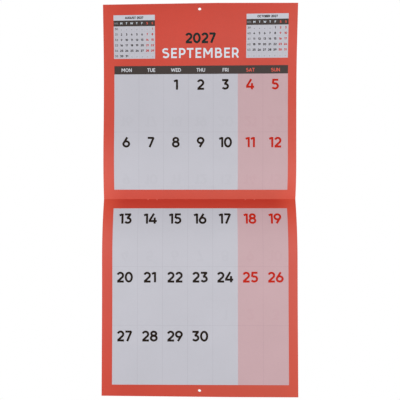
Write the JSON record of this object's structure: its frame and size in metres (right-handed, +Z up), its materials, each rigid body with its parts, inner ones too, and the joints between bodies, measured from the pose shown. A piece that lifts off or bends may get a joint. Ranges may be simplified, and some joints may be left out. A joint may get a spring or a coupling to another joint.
{
  "type": "wall calendar",
  "caption": "Square saddle-stitched wall calendar hung open at a month: stapled leaves in a card cover, turned up and hanging from a fold, drilled for a nail.",
  "frame": {"origin": "centre of the nail hole in the upper half, in the middle of that half's thickness", "axes": "+Z up, the printed faces look along -Y, +X to the reader's right"},
  "size_m": [0.3, 0.0235, 0.6021],
  "materials": {
    "printed_paper": "red silk-coated printing paper with pale grey, pink and dark printed fields",
    "cover_card": "red coated cover card",
    "staple_wire": "galvanised stitching wire"
  },
  "bodies": {
    "upper_half": {"upper_pages": "printed_paper", "front_cover": "cover_card", "staple_left": "staple_wire", "staple_right": "staple_wire"},
    "lower_half": {"lower_pages": "printed_paper", "back_cover": "cover_card"}
  },
  "joints": [
    {"name": "cover_fold", "type": "hinge", "parent": "upper_half", "child": "lower_half", "pos_m": [0, 0.01214, -0.29245], "axis": [-1, 0, 0], "range_deg": [0, 140]}
  ]
}
